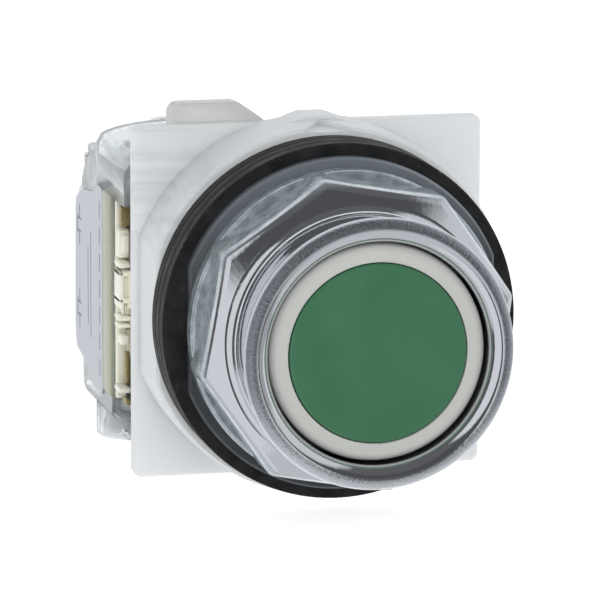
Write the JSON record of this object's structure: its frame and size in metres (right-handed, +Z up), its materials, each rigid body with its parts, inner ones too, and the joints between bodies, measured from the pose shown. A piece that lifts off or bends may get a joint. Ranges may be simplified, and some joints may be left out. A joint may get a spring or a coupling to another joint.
{
  "type": "industrial push button",
  "caption": "Flush momentary push button with a full-guard octagonal ring nut, gasket stack, square-backed body and a clear contact block behind one half.",
  "frame": {"origin": "on the button axis, in the plane of the body's seat face, where the panel's rear face goes", "axes": "+Z up, -Y out of the panel towards the user, +X to the user's right"},
  "size_m": [0.0442, 0.075, 0.0471],
  "materials": {
    "body_plastic": "satin moulded, faintly translucent light grey",
    "cap_plastic": "smooth satin light grey",
    "green_plastic": "satin mid green",
    "plunger_plastic": "natural acetal",
    "carrier_plastic": "cream moulded",
    "clear_plastic": "clear polycarbonate",
    "label_film": "blank printed film",
    "black_rubber": "matt moulded rubber",
    "chrome": "polished chrome plate on a cast nut",
    "washer_steel": "grey plated steel",
    "plated_steel": "zinc plated",
    "spring_steel": "bright drawn wire",
    "screw_steel": "nickel plated",
    "contact_brass": "bright rolled brass"
  },
  "bodies": {
    "operator": {"operator_body": "body_plastic", "threaded_bushing": "plated_steel", "bushing_circlip": "spring_steel", "return_spring": "spring_steel", "gasket_1": "black_rubber", "gasket_2": "black_rubber", "gasket_3": "black_rubber", "trim_washer": "washer_steel", "guard_nut": "chrome", "block_housing": "clear_plastic", "block_side_cover": "clear_plastic", "block_label": "label_film", "block_rear_cap": "clear_plastic", "terminal_hood_top": "clear_plastic", "terminal_hood_bottom": "clear_plastic", "carrier_spring": "spring_steel", "nc_contact_top": "contact_brass", "nc_contact_bottom": "contact_brass", "no_contact_top": "contact_brass", "no_contact_bottom": "contact_brass", "terminal_screws": "screw_steel", "wire_clamps": "screw_steel", "block_screws": "screw_steel"},
    "button": {"button_cap": "cap_plastic", "button_insert": "green_plastic", "plunger": "plunger_plastic", "plunger_seal": "black_rubber", "push_plate": "plated_steel", "push_plate_screw": "screw_steel"},
    "carrier": {"contact_carrier": "carrier_plastic", "nc_contact_spring": "spring_steel", "no_contact_spring": "spring_steel"},
    "nc_bridge": {"nc_bridge": "contact_brass"},
    "no_bridge": {"no_bridge": "contact_brass"}
  },
  "joints": [
    {"name": "button_press", "type": "slide", "parent": "operator", "child": "button", "axis": [0, 1, 0], "range_m": [0, 0.0045], "stiffness_N_per_m": 1200, "springref_m": -0.005, "deforming": ["return_spring"]},
    {"name": "carrier_slide", "type": "slide", "parent": "operator", "child": "carrier", "axis": [0, 1, 0], "range_m": [0, 0.0045], "deforming": ["carrier_spring"]},
    {"name": "nc_bridge_slide", "type": "slide", "parent": "operator", "child": "nc_bridge", "axis": [0, 1, 0], "range_m": [0, 0.0036], "deforming": ["nc_contact_spring"]},
    {"name": "no_bridge_slide", "type": "slide", "parent": "operator", "child": "no_bridge", "axis": [0, 1, 0], "range_m": [0, 0.0032], "deforming": ["no_contact_spring"]}
  ],
  "couplings": [
    {"joint": "carrier_slide", "follows": "button_press", "ratio": 1},
    {"joint": "nc_bridge_slide", "follows": "button_press", "ratio": 0.79},
    {"joint": "no_bridge_slide", "follows": "button_press", "ratio": 0.69}
  ]
}
